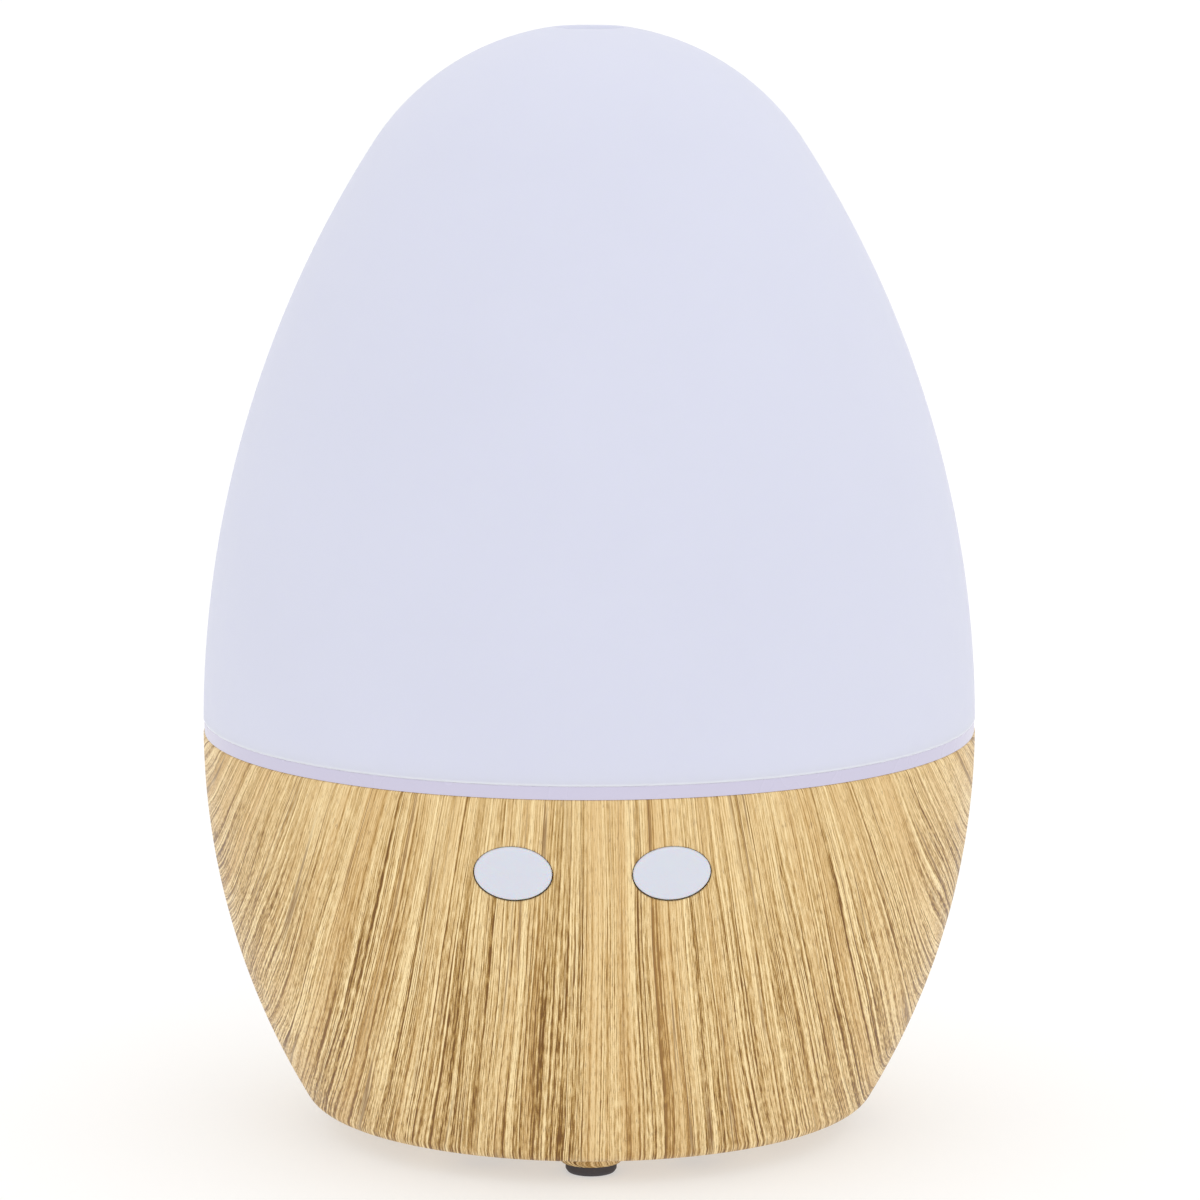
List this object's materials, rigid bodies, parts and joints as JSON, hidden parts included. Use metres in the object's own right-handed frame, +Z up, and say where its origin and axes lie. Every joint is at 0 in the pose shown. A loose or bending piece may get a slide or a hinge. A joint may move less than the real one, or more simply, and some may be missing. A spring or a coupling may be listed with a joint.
{
  "type": "cool mist humidifier",
  "caption": "Egg-shaped table-top ultrasonic humidifier: frosted lift-off dome with a mist outlet, water tank, wood-look bowl with oval push buttons, and a fan inside.",
  "frame": {"origin": "on the table, under the middle of the egg, in the plane of the feet's undersides", "axes": "+Z up along the egg's axis, -Y to the front with the buttons, +X to the right seen from the front"},
  "size_m": [0.108, 0.108, 0.1542],
  "materials": {
    "frosted_dome": "frosted, satin, lets light through",
    "hood_plastic": "satin moulded",
    "tank_plastic": "glossy moulded, slightly translucent",
    "silicone": "soft, satin",
    "wood_film": "light wood-grain transfer film under satin varnish, on plastic",
    "foot_rubber": "matt",
    "screw_steel": "zinc plated",
    "button_plastic": "satin white",
    "switch_plastic": "moulded",
    "green_board": "solder mask",
    "white_board": "white solder mask",
    "disc_electrode": "silvered ceramic",
    "retainer_steel": "stamped stainless",
    "led_plastic": "phosphor lens in a white frame",
    "ferrite": "dark ferrite",
    "capacitor_sleeve": "shrink sleeve",
    "chip_plastic": "black resin",
    "sink_aluminium": "extruded",
    "connector_plastic": "natural nylon",
    "fan_plastic": "black, moulded",
    "shaft_steel": "ground",
    "bearing_bronze": "sintered bronze",
    "stator_steel": "laminated",
    "coil_copper": "enamelled copper",
    "seal_foam": "closed-cell foam",
    "jack_plastic": "black, moulded",
    "contact_brass": "nickel-plated brass",
    "wire_sleeve": "PVC sleeve"
  },
  "bodies": {
    "root": {"water_tank": "tank_plastic", "rim_seal": "silicone", "base_shell": "wood_film", "bottom_cover": "wood_film", "rubber_feet": "foot_rubber", "cover_screws": "screw_steel", "switch_housings": "switch_plastic", "button_board": "green_board", "button_board_screws": "screw_steel", "transducer_disc": "disc_electrode", "transducer_gasket": "silicone", "transducer_retainer": "retainer_steel", "retainer_screws": "screw_steel", "led_board": "white_board", "leds": "led_plastic", "led_board_screws": "screw_steel", "main_board": "green_board", "main_board_screws": "screw_steel", "inductors": "ferrite", "capacitors": "capacitor_sleeve", "transistor": "chip_plastic", "heat_sink": "sink_aluminium", "controller_chip": "chip_plastic", "chip_resistors": "chip_plastic", "connectors": "connector_plastic", "fan_frame": "fan_plastic", "fan_bearing": "bearing_bronze", "fan_stator": "stator_steel", "fan_coils": "coil_copper", "fan_screws": "screw_steel", "air_duct": "hood_plastic", "duct_seal": "seal_foam", "dc_jack_housing": "jack_plastic", "dc_jack_pin": "contact_brass", "dc_jack_contact": "contact_brass", "transducer_wires": "wire_sleeve", "fan_wires": "wire_sleeve", "power_wires": "wire_sleeve", "led_wires": "wire_sleeve", "button_wires": "wire_sleeve"},
    "dome": {"dome_cover": "frosted_dome"},
    "hood": {"splash_hood": "hood_plastic"},
    "mist_key": {"mist_button": "button_plastic"},
    "light_key": {"light_button": "button_plastic"},
    "mist_switch": {"mist_plunger": "switch_plastic"},
    "light_switch": {"light_plunger": "switch_plastic"},
    "rotor": {"fan_rotor": "fan_plastic", "fan_magnet": "ferrite", "fan_shaft": "shaft_steel"}
  },
  "joints": [
    {"name": "dome_lift", "type": "slide", "parent": "root", "child": "dome", "axis": [0, 0, 1], "range_m": [0, 0.2]},
    {"name": "hood_lift", "type": "slide", "parent": "root", "child": "hood", "axis": [0, 0, 1], "range_m": [0, 0.1]},
    {"name": "mist_press", "type": "slide", "parent": "root", "child": "mist_key", "axis": [0, 1, 0], "range_m": [0, 0.0004], "stiffness_N_per_m": 2000},
    {"name": "light_press", "type": "slide", "parent": "root", "child": "light_key", "axis": [0, 1, 0], "range_m": [0, 0.0004], "stiffness_N_per_m": 2000},
    {"name": "mist_plunger_press", "type": "slide", "parent": "root", "child": "mist_switch", "axis": [0, 1, 0], "range_m": [0, 0.0004]},
    {"name": "light_plunger_press", "type": "slide", "parent": "root", "child": "light_switch", "axis": [0, 1, 0], "range_m": [0, 0.0004]},
    {"name": "fan_spin", "type": "hinge", "parent": "root", "child": "rotor", "pos_m": [-0.018, 0, 0.0138], "axis": [0, 0, 1], "continuous": true}
  ],
  "couplings": [
    {"joint": "hood_lift", "follows": "dome_lift", "ratio": 0.5},
    {"joint": "mist_plunger_press", "follows": "mist_press", "ratio": 1},
    {"joint": "light_plunger_press", "follows": "light_press", "ratio": 1}
  ]
}
